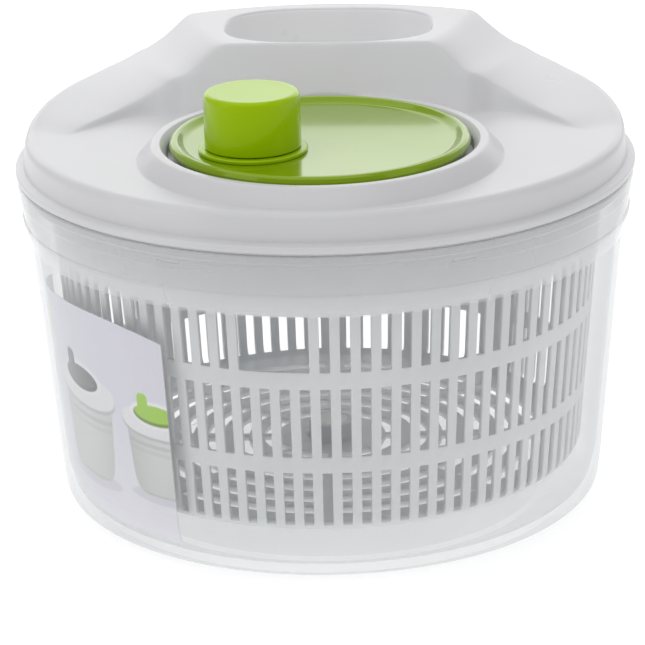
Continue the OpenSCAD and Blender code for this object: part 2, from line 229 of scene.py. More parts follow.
def ring(r, z, count, centre=(0, 0), start=0.0):
    """Points of a level circle."""
    step = 2 * math.pi / count
    return [
        (centre[0] + r * math.cos(start + i * step), centre[1] + r * math.sin(start + i * step), z)
        for i in range(count)
    ]


def turn_path(shell, path, centre=(0, 0), count=160):
    """Revolves a path; ends on the axis are capped. Returns the loops."""
    loops = []
    for r, z in path:
        if r > 1e-4:
            loops.append(shell.add(ring(r, z, count, centre)))
    shell.stack(loops)
    for end, loop in ((path[0], loops[0]), (path[-1], loops[-1])):
        if end[0] <= 1e-4:
            shell.cap(loop, (centre[0], centre[1], end[1]))
    return loops


def lathe(name, corners, centre=(0, 0), count=160, steps=5, sharp=35.0):
    shell = Shell()
    turn_path(shell, rounded_path(corners, steps), centre, count)
    return shell.build(name, sharp)


# ------------------------------------------------------------------ materials


def node_material(name):
    mat = bpy.data.materials.new(name)
    mat.use_nodes = True
    tree = mat.node_tree
    shader = tree.nodes["Principled BSDF"]
    return mat, tree, shader


def link(tree, a, b):
    tree.links.new(a, b)


def noise(tree, scale, detail=3.0, roughness=0.5, stretch=(1, 1, 1)):
    """Noise in object space, so that it stays the same size on every piece."""
    place_node = tree.nodes.new("ShaderNodeTexCoord")
    mapping = tree.nodes.new("ShaderNodeMapping")
    mapping.inputs["Scale"].default_value = stretch
    texture = tree.nodes.new("ShaderNodeTexNoise")
    texture.inputs["Scale"].default_value = scale
    texture.inputs["Detail"].default_value = detail
    texture.inputs["Roughness"].default_value = roughness
    link(tree, place_node.outputs["Object"], mapping.inputs["Vector"])
    link(tree, mapping.outputs["Vector"], texture.inputs["Vector"])
    return texture.outputs["Fac"]


def spread(tree, value, low, high):
    """Maps 0..1 to low..high."""
    node = tree.nodes.new("ShaderNodeMapRange")
    node.inputs["To Min"].default_value = low
    node.inputs["To Max"].default_value = high
    link(tree, value, node.inputs["Value"])
    return node.outputs["Result"]


def two_colours(tree, value, a, b, low=0.3, high=0.7):
    ramp = tree.nodes.new("ShaderNodeValToRGB")
    ramp.color_ramp.elements[0].position = low
    ramp.color_ramp.elements[1].position = high
    ramp.color_ramp.elements[0].color = (*a, 1)
    ramp.color_ramp.elements[1].color = (*b, 1)
    link(tree, value, ramp.inputs["Fac"])
    return ramp.outputs["Color"]


def bump(tree, value, distance, strength=1.0):
    node = tree.nodes.new("ShaderNodeBump")
    node.inputs["Distance"].default_value = distance * MM
    node.inputs["Strength"].default_value = strength
    link(tree, value, node.inputs["Height"])
    return node.outputs["Normal"]


def moulded_plastic(name, light, dark, rough=(0.25, 0.35), grain=900, relief=0.01,
                    under_skin=0.0, reach=3.0, coat=0.0, shine=(1, 1, 1), level=0.5):
    """Moulded plastic: slight clouding of colour, uneven gloss and a fine surface texture."""
    mat, tree, shader = node_material(name)
    cloud = noise(tree, 18, 3)
    link(tree, two_colours(tree, cloud, dark, light), shader.inputs["Base Color"])
    fine = noise(tree, grain, 2)
    link(tree, spread(tree, noise(tree, 60, 4), *rough), shader.inputs["Roughness"])
    link(tree, bump(tree, fine, relief), shader.inputs["Normal"])
    shader.inputs["IOR"].default_value = 1.49
    shader.inputs["Subsurface Weight"].default_value = under_skin
    shader.inputs["Subsurface Radius"].default_value = (1.0, 1.0, 1.0)
    shader.inputs["Subsurface Scale"].default_value = reach * MM
    shader.inputs["Specular Tint"].default_value = (*shine, 1)
    shader.inputs["Specular IOR Level"].default_value = level
    shader.inputs["Coat Weight"].default_value = coat
    shader.inputs["Coat Roughness"].default_value = 0.06
    return mat


def steel(name, colour, rough=(0.22, 0.38)):
    """Turned or plated steel with fine concentric lines."""
    mat, tree, shader = node_material(name)
    shade = tuple(c * 0.8 for c in colour)
    link(tree, two_colours(tree, noise(tree, 300, 4), shade, colour), shader.inputs["Base Color"])
    link(tree, spread(tree, noise(tree, 500, 3, stretch=(1, 1, 8)), *rough), shader.inputs["Roughness"])
    link(tree, bump(tree, noise(tree, 1800, 2, stretch=(1, 1, 6)), 0.01), shader.inputs["Normal"])
    shader.inputs["Metallic"].default_value = 1.0
    return mat


def mixed_with_clear(tree, shader, amount, tint):
    """Lets the surface behind show through: amount is the shader's share, a number or a socket."""
    through = tree.nodes.new("ShaderNodeBsdfTransparent")
    mix = tree.nodes.new("ShaderNodeMixShader")
    for value, socket in ((amount, mix.inputs["Fac"]), (tint, through.inputs["Color"])):
        if isinstance(value, bpy.types.NodeSocket):
            link(tree, value, socket)
        else:
            socket.default_value = value
    link(tree, through.outputs["BSDF"], mix.inputs[1])
    link(tree, shader.outputs["BSDF"], mix.inputs[2])
    link(tree, mix.outputs["Shader"], tree.nodes["Material Output"].inputs["Surface"])


def power(tree, value, exponent):
    node = tree.nodes.new("ShaderNodeMath")
    node.operation = "POWER"
    link(tree, value, node.inputs[0])
    node.inputs[1].default_value = exponent
    return node.outputs["Value"]


def clear_plastic(name, least=0.03, most=0.62, light=0.93):
    """Clear polystyrene: its own share of what is seen grows from least to most as it turns away."""
    mat, tree, shader = node_material(name)
    facing = tree.nodes.new("ShaderNodeLayerWeight")
    facing.inputs["Blend"].default_value = 0.5
    turned_away = facing.outputs["Facing"]
    tint = two_colours(tree, turned_away, (0.99, 0.99, 0.99), (0.90, 0.91, 0.92), 0.4, 1.0)
    shader.inputs["Base Color"].default_value = (light, light + 0.005, light + 0.01, 1)
    shader.inputs["IOR"].default_value = 1.5
    link(tree, spread(tree, noise(tree, 40, 3), 0.05, 0.12), shader.inputs["Roughness"])
    link(tree, bump(tree, noise(tree, 26, 2), 0.06), shader.inputs["Normal"])
    share = spread(tree, power(tree, turned_away, 3.0), least, most)
    mixed_with_clear(tree, shader, share, tint)
    return mat


def milky_plastic(name):
    """Milky polypropylene: scatters light inside and lets a little of it through."""
    mat = moulded_plastic(name, (0.76, 0.77, 0.78), (0.71, 0.73, 0.74), (0.30, 0.42), 700, 0.012,
                          under_skin=0.35, reach=4.0)
    tree = mat.node_tree
    mixed_with_clear(tree, tree.nodes["Principled BSDF"], 0.9, (0.92, 0.95, 0.97, 1))
    return mat


def printed_paper(name):
    """Coated card whose colours are painted per point, with a faint fibre."""
    mat, tree, shader = node_material(name)
    paint = tree.nodes.new("ShaderNodeVertexColor")
    paint.layer_name = "print"
    tone = two_colours(tree, noise(tree, 900, 3), (0.95, 0.95, 0.95), (1.0, 1.0, 1.0))
    mix = tree.nodes.new("ShaderNodeMix")
    mix.data_type = "RGBA"
    mix.blend_type = "MULTIPLY"
    mix.inputs["Factor"].default_value = 1.0
    link(tree, paint.outputs["Color"], mix.inputs["A"])
    link(tree, tone, mix.inputs["B"])
    link(tree, mix.outputs["Result"], shader.inputs["Base Color"])
    link(tree, spread(tree, noise(tree, 200, 3), 0.38, 0.5), shader.inputs["Roughness"])
    link(tree, bump(tree, noise(tree, 1500, 3), 0.01), shader.inputs["Normal"])
    return mat


# ------------------------------------------------------------------ bowl


def make_bowl():
    floor = 4.1
    base = 99.0
    return lathe("bowl_clear", [
        (0, 1.5, 0), (base - 14, 1.5, 0.5), (base - 12.5, 0.05, 0.5), (base - 1.5, 0.05, 1.5),
        (base + 8.4, 2.6, 9), (wall_r(14), 14, 6), (wall_r(109), 109, 5),
        (RIM_R - 1.5, 117.6, 1.2), (RIM_R - 1.5, 118.6, 0.3), (RIM_R - 2.0, 119.0, 0.3),
        (RIM_R - 1.05, 126.6, 0.3), (RIM_R - 0.75, 127.2, 0.3),
        (RIM_R - 0.7, 130.8, 0.4), (RIM_R - 0.05, 131.8, 0.5), (RIM_R - 0.05, BOWL_H, 0.6),
        (RIM_R - 2.4, BOWL_H, 0.6), (RIM_R - 2.8, 130, 2), (RIM_R - 3.6, 119.0, 3),
        (wall_r(110.2) - BOWL_WALL, 110.2, 5), (wall_r(18) - BOWL_WALL, 18, 4),
        (base + 4.6, floor, 9), (14, floor, 2), (11, 6, 1), (8, 14, 1), (0, 14, 0)],
        count=256, steps=8)


# ------------------------------------------------------------------ basket


def corner_point(degrees):
    a = math.radians(degrees)
    return CORNER_R + CORNER * math.cos(a), CORNER_Z + CORNER * math.sin(a)


def basket_path():
    """Outer face from the hub out and up: r, z and what lies between the point and the next."""
    path = [(9.0, FLOOR_LOW, "solid")]
    for k in range(6):
        r = 22 + 11.5 * k
        path += [(r, FLOOR_LOW, "floor"), (r + 5.5, FLOOR_LOW, "solid")]
    path.append((CORNER_R - 0.4, FLOOR_LOW, "solid"))
    path += [(*corner_point(a), "solid") for a in (-75, -60)]
    low_a = -math.degrees(math.asin((CORNER_Z - SLOT_ROWS[0][0]) / CORNER))
    path += [(*corner_point(low_a * share), "row0") for share in (1, 0.66, 0.33, 0)]
    for k, (low, high) in enumerate(SLOT_ROWS):
        if k:
            path.append((basket_r(low), low, f"row{k}"))
        path.append((basket_r(high), high, "solid"))
    top = BASKET_TOP
    return path + [
        (basket_r(112), 112, "solid"), (basket_r(NOTCH_LOW), NOTCH_LOW, "notch"),
        (basket_r(top - 3), top - 3, "notch"), (basket_r(top) + 1.5, top - 2.4, "notch"),
        (basket_r(top) + 1.5, top - 0.4, "notch"), (basket_r(top) + 1.1, top, "end")]


def basket_inside(r, z):
    """The inner face's r and z for a point of the outer face."""
    if z <= FLOOR_LOW + 0.01:
        return r, FLOOR_HIGH
    if z < CORNER_Z:
        a = math.atan2(z - CORNER_Z, r - CORNER_R)
        size = CORNER - BASKET_WALL - 0.3
        return CORNER_R + size * math.cos(a), CORNER_Z + size * math.sin(a) + 0.2
    return basket_r(min(z, BASKET_TOP)) - BASKET_WALL, z


def is_hole(kind, step, turn):
    """True where the cell after the angle step is open; turn is the cell's middle in degrees."""
    if kind == "floor":
        return step % (SLOTS * STEPS_PER_SLOT // FLOOR_SECTORS) not in SPOKE_STEPS
    if kind == "notch":
        return abs((turn + NOTCH_STEP / 2) % NOTCH_STEP - NOTCH_STEP / 2) < NOTCH_HALF
    if not kind.startswith("row"):
        return False
    slot, part = divmod(step, STEPS_PER_SLOT)
    if part in (0, 1):
        return True
    away = ((slot + 0.5) % (SLOTS // 2) + WINDOW_PITCHES + 11) % (SLOTS // 2) - 11
    return kind == "row2" and abs(away) < 2


def basket_faces(shell, outer, inside, holes):
    """Both skins, and the walls of the openings between them."""
    count = len(holes)
    rows = len(outer) - 1
    for i in range(count):
        k = (i + 1) % count
        for j in range(rows):
            if holes[i][j]:
                continue
            shell.faces.append((outer[j][i], outer[j][k], outer[j + 1][k], outer[j + 1][i]))
            shell.faces.append((inside[j][k], inside[j][i], inside[j + 1][i], inside[j + 1][k]))
            if holes[k][j]:
                shell.faces.append((outer[j][k], inside[j][k], inside[j + 1][k], outer[j + 1][k]))
            if holes[i - 1][j]:
                shell.faces.append((inside[j][i], outer[j][i], outer[j + 1][i], inside[j + 1][i]))
            if j + 1 == rows or holes[i][j + 1]:
                shell.faces.append((outer[j + 1][i], outer[j + 1][k], inside[j + 1][k], inside[j + 1][i]))
            if j == 0 or holes[i][j - 1]:
                shell.faces.append((outer[j][k], outer[j][i], inside[j][i], inside[j][k]))


def make_basket():
    """Two skins over one grid of angles and path points, with the slots left open."""
    count = SLOTS * STEPS_PER_SLOT
    step = 360 / SLOTS / STEPS_PER_SLOT
    turns = [SLOT_TURN - 90 + (i - 1) * step for i in range(count)]
    angles = [math.radians(turn) for turn in turns]
    path = basket_path()
    shell = Shell()
    skins = []
    for points in ([p[:2] for p in path], [basket_inside(*p[:2]) for p in path]):
        skins.append([shell.add([(r * math.cos(a), r * math.sin(a), z) for a in angles])
                      for r, z in points])
    holes = [[is_hole(p[2], i, turns[i] + step / 2) for p in path[:-1]] for i in range(count)]
    basket_faces(shell, *skins, holes)
    basket = shell.build("basket_milky", sharp=40)
    soften_edges(basket, 0.35, 50)
    hub = lathe("basket_hub", [
        (6.5, 15.0, 0), (9.0, 15.0, 0.5), (9.6, 17.2, 0), (10.4, 19.2, 1.0), (9.2, 20, 0.8),
        (9.0, 26.0, 0.5), (6.5, 26.0, 0)], count=64)
    return basket, hub


def soften_edges(obj, width, angle, segments=2):
    """Rounds every edge sharper than the angle by the width in millimetres."""
    bm = bmesh.new()
    bm.from_mesh(obj.data)
    limit = math.radians(angle)
    edges = [e for e in bm.edges if len(e.link_faces) == 2 and e.calc_face_angle(0) > limit]
    bmesh.ops.bevel(bm, geom=edges, offset=width * MM, segments=segments, profile=0.5,
                    affect="EDGES", clamp_overlap=True)
    bm.to_mesh(obj.data)
    bm.free()
    obj.data.shade_smooth()
    obj.data.set_sharp_from_angle(angle=math.radians(40))


# ------------------------------------------------------------------ lid


def soft_min(a, b, k):
    h = np.clip(0.5 + 0.5 * (b - a) / k, 0, 1)
    return b * (1 - h) + a * h - k * h * (1 - h)


def soft_max(a, b, k):
    return -soft_min(-a, -b, k)


def smooth_table(xs, corners, passes=2, width=5):
    """Values at xs of the line through (x, value) corners, with the corners rounded."""
    values = np.interp(xs, [c[0] for c in corners], [c[1] for c in corners])
    half = width // 2
    for _ in range(passes):
        values[half:-half] = np.convolve(values, np.ones(width) / width, "valid")
    return values


ACROSS = np.arange(0.0, 131.0)  # distance from the lid's middle line
# where the hump's front face would meet the flat lid, and where it meets the hump's flank
FOOT_Y = smooth_table(ACROSS, [
    (0, 12), (50, 12), (56.5, 11.7), (60, 14), (64, 17), (68, 18.3), (72, 17.6), (77, 15), (81, 12),
    (85, 7.6), (89, 2.7), (94, -3), (98, -7), (106, -16), (130, -46)])
RIDGE_Y = smooth_table(ACROSS, [
    (0, 33.5), (42, 33), (50, 27.3), (58, 24.4), (64, 25), (69, 24), (74, 20.8), (80, 15.8), (86, 8.7),
    (90, 3), (95, -4), (98, -9.5), (118, -45), (130, -60)])
# height of the flank against the distance out from the plateau's edge, along the front and the back
OUTWARD = np.arange(-70.0, 90.0, 0.5)
FRONT_FALL = smooth_table(OUTWARD, [
    (-70, 217), (0, 174), (2.9, 172.2), (6.6, 169.3), (10.6, 166), (14.8, 163.8), (18.7, 162.4),
    (22.2, 159.7), (24.7, 158.3), (29.2, 156.2), (33.3, 154.8), (40.2, 152.85), (46.6, 151.95),
    (50.9, 151.3), (54.5, 150.2), (60, 147), (90, 140)], 2, 7)
REAR_FALL = smooth_table(OUTWARD, [
    (-70, 246), (0, 174), (5.5, 168), (9.5, 164), (16, 159.7), (22, 157.2), (28.5, 156), (35.5, 154.7),
    (40.5, 154.4), (47.5, 153.5), (52.5, 152.3), (56, 151.2), (62, 148), (90, 140)], 2, 7)


def flank_height(ax, y):
    """Side of the hump, from the plateau's edge down to the lid's side."""
    ridge = np.interp(ax, ACROSS, RIDGE_Y)
    rear = np.sqrt(np.maximum(116.0 ** 2 - ax ** 2, 1.0))
    back_share = np.clip((y - ridge) / np.maximum(rear - ridge, 1.0), 0, 1)
    outward = ax - 39.4 - 22.5 * back_share ** 0.6
    front = np.interp(outward, OUTWARD, FRONT_FALL)
    return front + (np.interp(outward, OUTWARD, REAR_FALL) - front) * back_share


def handle_height(x, y, skin=0.0):
    """Height of the handle hump over the flat lid, as soft minima of its sides; skin shrinks it."""
    ax = np.abs(x)
    flank = flank_height(ax, y) - 1.2 * skin
    front = LID_FLAT + (y - np.interp(ax, ACROSS, FOOT_Y)) / 0.92 - 1.48 * skin
    back = HANDLE_TOP - 1.9 * (np.hypot(x, y + 30.5) - 132) - 2.15 * skin
    z = soft_min(HANDLE_TOP - skin + 0 * ax, flank, 2.0)
    z = soft_min(z, front, 0.9)
    z = soft_min(z, back, 5.0)
    if skin:
        z = np.minimum(z, ROOF + 3 * (np.hypot(x - CRANK[0], y - CRANK[1]) - RING_BORE - 1))
    return z


def ring_height(x, y):
    d = np.hypot(x - CRANK[0], y - CRANK[1])
    slope = RING_TOP - (d - RING_TOP_R) * (RING_TOP - LID_FLAT) / (RING_OUT - RING_TOP_R)
    return soft_min(slope, RING_TOP + 0 * d, 0.6)


def lid_height(x, y):
    return soft_max(soft_max(LID_FLAT + 0 * x, ring_height(x, y), 0.3), handle_height(x, y), 1.2)


def roof_height(x, y):
    return soft_max(ROOF + 0 * x, handle_height(x, y, LID_SKIN), 1.6)


def oval(grow, z=None, count=160):
    """Outline of the recess: a rounded oblong that narrows towards the floor."""
    share = recess_share(z)
    points = []
    for i in range(count):
        c, s = math.cos(2 * math.pi * i / count), math.sin(2 * math.pi * i / count)
        points.append((
            math.copysign(abs(c) ** SQUARENESS, c) * (RECESS[0] + grow) * share,
            RECESS_Y + math.copysign(abs(s) ** SQUARENESS, s) * (RECESS[1] + grow) * share))
    return points


def recess_share(z):
    if z is None:
        return 1.0
    return 1 - (1 - RECESS_SHARE) * (HANDLE_TOP - z) / (HANDLE_TOP - LID_FLAT)


def in_oval(x, y, grow, z=None):
    share = recess_share(z)
    exponent = 2 / SQUARENESS
    return (abs(x / (RECESS[0] + grow) / share) ** exponent
            + abs((y - RECESS_Y) / (RECESS[1] + grow) / share) ** exponent) < 1


def near_drain(x, y, half_x, half_y):
    return any(abs(x - at) < half_x and abs(y - RECESS_Y) < half_y for at in DRAIN_X)


def slot_loop(x, y, half_x, half_y, count=12):
    """Level slot with round ends, its long way along Y."""
    points = []
    for end, start in ((1, 0), (-1, math.pi)):
        for i in range(count // 2):
            a = start + math.pi * i / (count // 2 - 1)
            points.append((x + half_x * math.cos(a), y + end * (half_y - half_x) + half_x * math.sin(a)))
    return points


def triangulate(loops, scatter):
    """Constrained triangles over the loops' points and the scattered points."""
    points, edges = [], []
    for loop in loops:
        base = len(points)
        points += [Vector(p[:2]) for p in loop]
        edges += [(base + i, base + (i + 1) % len(loop)) for i in range(len(loop))]
    points += [Vector(p) for p in scatter]
    verts, _, faces, origin, _, _ = delaunay_2d_cdt(points, edges, [], 0, 1e-6)
    return verts, faces, origin


def patch(shell, loops, loop_ids, scatter, height, keep):
    """Fills between loops that the shell already has. keep(x, y) says which triangles stay."""
    verts, faces, origin = triangulate(loops, scatter)
    ids = []
    total = sum(len(loop) for loop in loops)
    flat_ids = [i for loop in loop_ids for i in loop]
    xs = np.array([v.x for v in verts])
    ys = np.array([v.y for v in verts])
    zs = height(xs, ys)
    for k, source in enumerate(origin):
        owner = [s for s in source if s < total]
        if owner:
            ids.append(flat_ids[owner[0]])
        else:
            ids.append(shell.add([(xs[k], ys[k], zs[k])])[0])
    for face in faces:
        cx = sum(verts[i].x for i in face) / len(face)
        cy = sum(verts[i].y for i in face) / len(face)
        if keep(cx, cy):
            shell.faces.append(tuple(ids[i] for i in face))


def scattered(height, inside, fine=0.9, coarse=2, bend=0.006):
    """Hex grid points, close together only where the surface bends."""
    rows = np.arange(-116, 117, fine * 0.866)
    cols = np.arange(-117, 118, fine)
    points = []
    for j, y in enumerate(rows):
        xs = cols + (fine / 2 if j % 2 else 0)
        ys = np.full_like(xs, y)
        curve = np.abs(height(xs + fine, ys) + height(xs - fine, ys) + height(xs, ys + fine)
                       + height(xs, ys - fine) - 4 * height(xs, ys))
        for i, x in enumerate(xs):
            if (curve[i] > bend or (i % coarse == 0 and j % coarse == 0)) and inside(x, y):
                points.append((x, y))
    return points


def heights(height, points):
    return height(np.array([p[0] for p in points]), np.array([p[1] for p in points]))


def level_loops(shell, outlines):
    """Adds the recess's outline at each (grow, z)."""
    return [shell.add([(x, y, z) for x, y in oval(grow, z)]) for grow, z in outlines]


def lid_outside(shell, rim_loop, rim_z, directions):
    """Shoulder, side, flange, skirt and inner side wall. Returns the roof's edge."""
    loops = [rim_loop]
    for a in quarter_turn(7, 1):
        r = TOP_R + SHOULDER * math.sin(a)
        loops.append(shell.add([
            (d[0] * r, d[1] * r, z - SHOULDER * (1 - math.cos(a))) for d, z in zip(directions, rim_z)]))
    for t in (0.33, 0.67, 1.0):
        r = SIDE_R + 0.55 * t
        loops.append(shell.add([
            (d[0] * r, d[1] * r, (z - SHOULDER) * (1 - t) + 139.8 * t) for d, z in zip(directions, rim_z)]))
    flange = rounded_path([
        (118.6, 139.6, 0), (118.7, 138.8, 0.7), (LID_R - 0.02, 137.9, 0.8), (LID_R - 0.02, 135.5, 0.5),
        (120.2, 135.5, 0.3), (120.2, 134.5, 0.2), (117.8, 134.5, 0.3), (117.8, 128.4, 0.5),
        (117.2, 128.0, 0.4), (115.9, 128.0, 0.4), (115.9, 139.0, 1.0), (116.0, 141.0, 0)], 4)
    for r, z in flange:
        loops.append(shell.add([(d[0] * r, d[1] * r, z) for d in directions]))
    roof_z = heights(roof_height, [(d[0] * ROOF_R, d[1] * ROOF_R) for d in directions])
    for a in quarter_turn(6):
        r = ROOF_R + ROOF_CORNER * math.cos(a)
        loops.append(shell.add([
            (d[0] * r, d[1] * r, z - ROOF_CORNER + ROOF_CORNER * math.sin(a))
            for d, z in zip(directions, roof_z)]))
    shell.stack(loops)
    return loops[-1]


def crank_well(shell):
    """Crank ring, its floor and the bore with its boss below. Returns the top and bottom loops."""
    path = rounded_path([
        (WELL_R, RING_TOP, 0), (RING_IN, RING_TOP, 0.5), (RING_BORE, RING_TOP - 3, 0.4),
        (RING_BORE, LID_FLAT, 0.8), (10.5, LID_FLAT, 0.3),
        (10.5, 143.5, 0.2), (BOSS_R, 143.5, 0.4), (BOSS_R, ROOF, 0)], 4)
    loops = []
    for r, z in path:
        loop = np.array(ring(r, z, RING_POINTS, CRANK))
        loop[:, 2] += np.maximum(handle_height(loop[:, 0], loop[:, 1]) - RING_TOP, 0)
        loops.append(shell.add(loop))
    shell.stack(loops)
    return loops[0], loops[-1]


def recess_wall(shell):
    """Rounded lip and wall of the recess, from above. Returns the mouth's and the floor's loops."""
    lip_xy = np.array(oval(LIP))
    lip_z = lid_height(lip_xy[:, 0], lip_xy[:, 1])
    loops = [shell.add([(x, y, z) for (x, y), z in zip(lip_xy, lip_z)])]
    for a in quarter_turn(6, 1):
        loops.append(shell.add([
            (x, y, z - LIP * (1 - math.cos(a)))
            for (x, y), z in zip(oval(LIP * (1 - math.sin(a))), lip_z)]))
    loops += level_loops(shell, (
        (-0.2, 165), (-0.3, 154.0), (-0.8, 151.6), (-1.6, 150.2), (FLOOR_GROW, LID_FLAT)))
    shell.stack(loops)
    return loops[0], loops[-1]


def recess_cup(shell):
    """The recess's wall from below. Returns its top and bottom loops."""
    cup_xy = np.array(oval(LID_SKIN))
    cup_z = np.minimum(roof_height(cup_xy[:, 0], cup_xy[:, 1]), HANDLE_TOP - LID_SKIN)
    loops = [shell.add([(x, y, z) for (x, y), z in zip(cup_xy, cup_z)])]
    loops += level_loops(shell, ((2.0, 160), (1.9, 150.0), (1.4, 148.0), (CUP_GROW, ROOF)))
    shell.stack(loops)
    return loops[0], loops[-1]


def recess_floors(shell, floor_loop, cup_loop):
    """Both faces of the recess's floor, with the drain slots through it."""
    half_x, half_y = DRAIN_HALF
    slots = [slot_loop(x, RECESS_Y, half_x, half_y) for x in DRAIN_X]
    tops = [shell.add([(x, y, LID_FLAT) for x, y in s]) for s in slots]
    lows = [shell.add([(x, y, ROOF) for x, y in s]) for s in slots]
    for a, b in zip(tops, lows):
        shell.band(a, b)
    for grow, level, edge, holes in (
            (FLOOR_GROW, LID_FLAT, floor_loop, tops), (CUP_GROW, ROOF, cup_loop, lows)):
        grid = [(x, y) for x in np.arange(-40, 41, 4.0) for y in np.arange(38, 92, 4.0)
                if in_oval(x, y, grow - 2, level) and not near_drain(x, y, half_x + 0.7, half_y + 1)]
        patch(shell, [oval(grow, level)] + slots, [edge] + holes, grid,
              lambda x, y, level=level: level + 0 * x,
              lambda x, y, grow=grow, level=level: (
                  in_oval(x, y, grow, level) and not near_drain(x, y, half_x, half_y)))


def top_skin(shell, rim, rim_loop, well_loop, mouth_loop):
    """The top between the shoulder, the crank ring and the recess."""
    def on_top(x, y):
        return (math.hypot(x, y) < TOP_R - 0.5 and distance(x, y, CRANK) > WELL_R + 0.6
                and not in_oval(x, y, LIP + 0.6))

    near_ring = [
        (x, y) for r in (63.8, 64.1, 64.4, 64.8, 65.5, 66.7, 68.2, 69.4, 70.0, 70.3, 70.6, 71.0, 72.0)
        for x, y, _ in ring(r, 0, RING_POINTS, CRANK) if math.hypot(x, y) < TOP_R - 0.3]
    ring_free = [p for p in scattered(lid_height, on_top)
                 if distance(*p, CRANK) > 72.8
                 or lid_height(np.array([p[0]]), np.array([p[1]]))[0] > RING_TOP + 0.5]
    patch(shell, [rim, ring(WELL_R, 0, RING_POINTS, CRANK), oval(LIP)],
          [rim_loop, well_loop, mouth_loop], near_ring + ring_free, lid_height,
          lambda x, y: (math.hypot(x, y) < TOP_R and distance(x, y, CRANK) > WELL_R - 0.01
                        and not in_oval(x, y, LIP - 0.02)))


def screw_posts(shell, centres):
    """Adds the cover's screw posts. Returns their top loops."""
    tops = []
    for centre in centres:
        loops = [shell.add(ring(r, z, POST_POINTS, centre)) for r, z in rounded_path(
            [(POST_R, ROOF, 0), (POST_R, POST_LOW, 0.4), (1.2, POST_LOW, 0)], 3)]
        shell.stack(loops)
        shell.cap(loops[-1], (centre[0], centre[1], POST_LOW))
        tops.append(loops[0])
    return tops


def underside(shell, roof_loop, boss_loop, cup_loop):
    """The roof from below, with the spindle's boss and the cover's screw posts."""
    r = SPINDLE_BOSS_R
    hub_path = rounded_path([(r, ROOF, 0), (r, 141.6, 0.5), (6.5, 141.6, 0.3), (6.5, ROOF - 0.2, 0)], 3)
    hub = [shell.add(ring(r, z, BOSS_POINTS)) for r, z in hub_path]
    shell.stack(hub)
    shell.cap(hub[-1], (0, 0, ROOF - 0.2))
    posts = [(c.x, c.y) for c in post_centres()]
    post_loops = screw_posts(shell, posts)

    def clear_of(x, y, gap, mouth_gap):
        return (distance(x, y, CRANK) > BOSS_R + gap and math.hypot(x, y) > SPINDLE_BOSS_R + gap
                and not in_oval(x, y, LID_SKIN + mouth_gap)
                and all(distance(x, y, c) > POST_R + gap for c in posts))

    outlines = [ring(ROOF_R, 0, RIM_POINTS), ring(BOSS_R, 0, RING_POINTS, CRANK),
                ring(SPINDLE_BOSS_R, 0, BOSS_POINTS), oval(LID_SKIN)]
    outlines += [ring(POST_R, 0, POST_POINTS, centre) for centre in posts]
    inner_points = scattered(
        roof_height, lambda x, y: math.hypot(x, y) < ROOF_R - 0.6 and clear_of(x, y, 0.6, 0.6),
        fine=1.4, bend=0.03)
    patch(shell, outlines, [roof_loop, boss_loop, hub[0], cup_loop] + post_loops, inner_points, roof_height,
          lambda x, y: math.hypot(x, y) < ROOF_R and clear_of(x, y, -0.01, -0.02))


def make_lid():
    shell = Shell()
    rim = ring(TOP_R, 0, RIM_POINTS)
    rim_z = heights(lid_height, rim)
    rim_loop = shell.add([(p[0], p[1], z) for p, z in zip(rim, rim_z)])
    roof_loop = lid_outside(shell, rim_loop, rim_z, [(p[0] / TOP_R, p[1] / TOP_R) for p in rim])
    well_loop, boss_loop = crank_well(shell)
    mouth_loop, floor_loop = recess_wall(shell)
    cup_top, cup_low = recess_cup(shell)
    recess_floors(shell, floor_loop, cup_low)
    top_skin(shell, rim, rim_loop, well_loop, mouth_loop)
    underside(shell, roof_loop, boss_loop, cup_top)
    return shell.build("lid_white", sharp=42)


def post_centres():
    """Where the gear cover's screws stand: the middles of the separate solids of their node."""
    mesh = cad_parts["cover_screws"].data
    points = [v.co / MM for v in mesh.vertices]
    centres = []
    for p in points:
        for group in centres:
            if (Vector((p.x, p.y)) - group[0]).length < 7:
                group[1].append(p)
                break
        else:
            centres.append((Vector((p.x, p.y)), [p]))
    return [Vector(((min(p.x for p in g) + max(p.x for p in g)) / 2,
                    (min(p.y for p in g) + max(p.y for p in g)) / 2)) for _, g in centres]


# ------------------------------------------------------------------ crank and knob


def make_disc():
    r = (DISC_HIGH.x - DISC_LOW.x) / 2
    top = DISC_RIM
    low = 153.4
    return lathe("crank_dish", [
        (0, DISC_FLOOR, 0), (r - 5.4, DISC_FLOOR, 3.0), (r - 3.3, top - 0.2, 0.9), (r - 2.4, top, 0.6),
        (r - 1.4, top - 0.1, 0.6), (r - 0.5, top - 0.8, 0.8), (r - 0.02, top - 2.2, 0.8),
        (r - 0.02, low + 1.5, 0.6), (r - 0.5, low + 0.5, 0.5), (r - 1.6, low, 0.5), (r - 4, low, 0),
        (r - 4.6, low + 0.5, 0.2), (13, low + 0.5, 0.3), (12, low, 0.3), (8, low, 0.4),
        (8, 141.2, 0.3), (4.8, 141.2, 0.2), (4.8, 135.4, 0.2), (0, 135.4, 0)],
        CRANK, count=256, steps=5)


def make_collar():
    z = COLLAR_HIGH.z
    r = (COLLAR_HIGH.x - COLLAR_LOW.x) / 2
    low = COLLAR_LOW.z
    return lathe("knob_base", [
        (5.05, DISC_FLOOR + 0.3, 0), (5.05, z, 0.3), (7.4, z, 0.3), (7.4, COLLAR_TOP, 0.5),
        (r - 0.5, COLLAR_TOP, 0.4), (r, COLLAR_TOP - 0.4, 0.3), (r, DISC_FLOOR + 0.3, 0.2),
        (r - 0.3, DISC_FLOOR, 0.2), (9.0, DISC_FLOOR, 0.1), (9.0, low, 0.2), (7.3, low, 0.2),
        (7.3, DISC_FLOOR + 0.1, 0.1), (5.05, DISC_FLOOR + 0.1, 0)], KNOB, count=160, steps=4)


